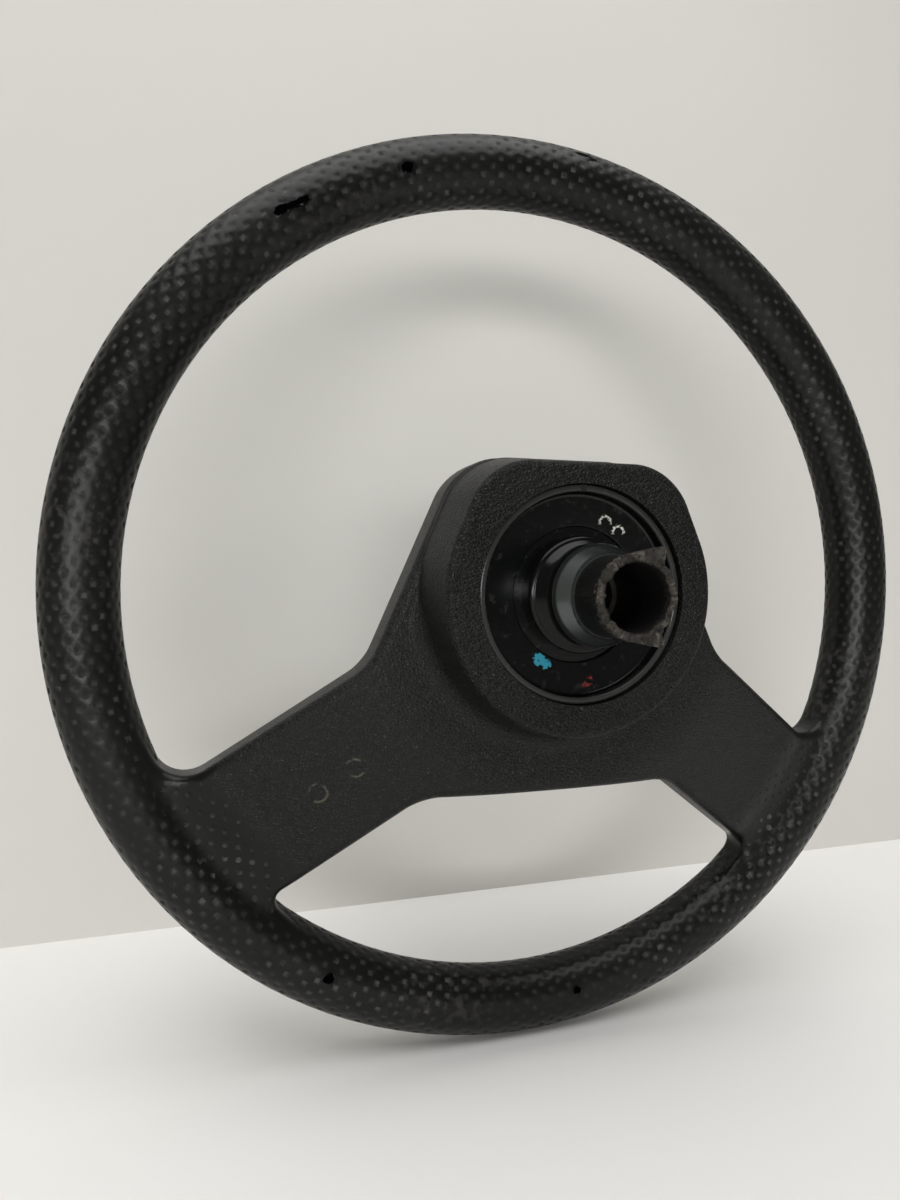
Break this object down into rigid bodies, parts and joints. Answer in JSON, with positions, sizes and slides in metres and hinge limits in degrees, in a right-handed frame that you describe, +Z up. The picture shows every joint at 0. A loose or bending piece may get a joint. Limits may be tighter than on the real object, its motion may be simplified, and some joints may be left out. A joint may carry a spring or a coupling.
{
  "type": "car steering wheel",
  "caption": "Round car steering wheel with down-swept spokes, moulded hub shroud, black hub dish, broken indicator cancel sleeve and a sprung horn pad on the driver's side.",
  "frame": {"origin": "on the wheel's axis, level with the rear face of the hub shroud, inside the pilot bore", "axes": "+Z up, +Y along the wheel's axis towards the steering column, the driver at -Y, +X to the driver's right"},
  "size_m": [0.38, 0.1088, 0.38],
  "materials": {
    "moulding": "black skinned polyurethane, grained and worn",
    "armature": "plain steel",
    "dish": "black paint, glossy",
    "boss": "turned steel",
    "sleeve": "black, broken and rough at its end",
    "plated": "zinc plated",
    "insulator": "brown laminate",
    "brass": "plain brass",
    "spring": "spring steel",
    "bush": "natural nylon",
    "pad": "black, fine grain"
  },
  "bodies": {
    "wheel": {"rim_moulding": "moulding", "armature_ring": "armature", "spoke_arm_left": "armature", "spoke_arm_right": "armature", "hub_dish": "dish", "hub_boss": "boss", "cancel_sleeve": "sleeve", "horn_base": "plated", "base_screws": "plated", "guide_studs": "plated", "contact_insulator": "insulator", "contact_strip": "brass", "contact_rivets": "brass", "horn_spring_left": "spring", "horn_spring_right": "spring", "spring_rivets": "plated"},
    "horn": {"horn_carrier": "plated", "guide_bush_1": "bush", "guide_bush_2": "bush", "guide_bush_3": "bush", "guide_bush_4": "bush", "moving_contact": "brass", "carrier_screws": "plated", "horn_pad": "pad"}
  },
  "joints": [
    {"name": "horn_press", "type": "slide", "parent": "wheel", "child": "horn", "axis": [0, 1, 0], "range_m": [0, 0.002], "stiffness_N_per_m": 3000, "springref_m": -0.002, "deforming": ["horn_spring_left", "horn_spring_right"]}
  ]
}
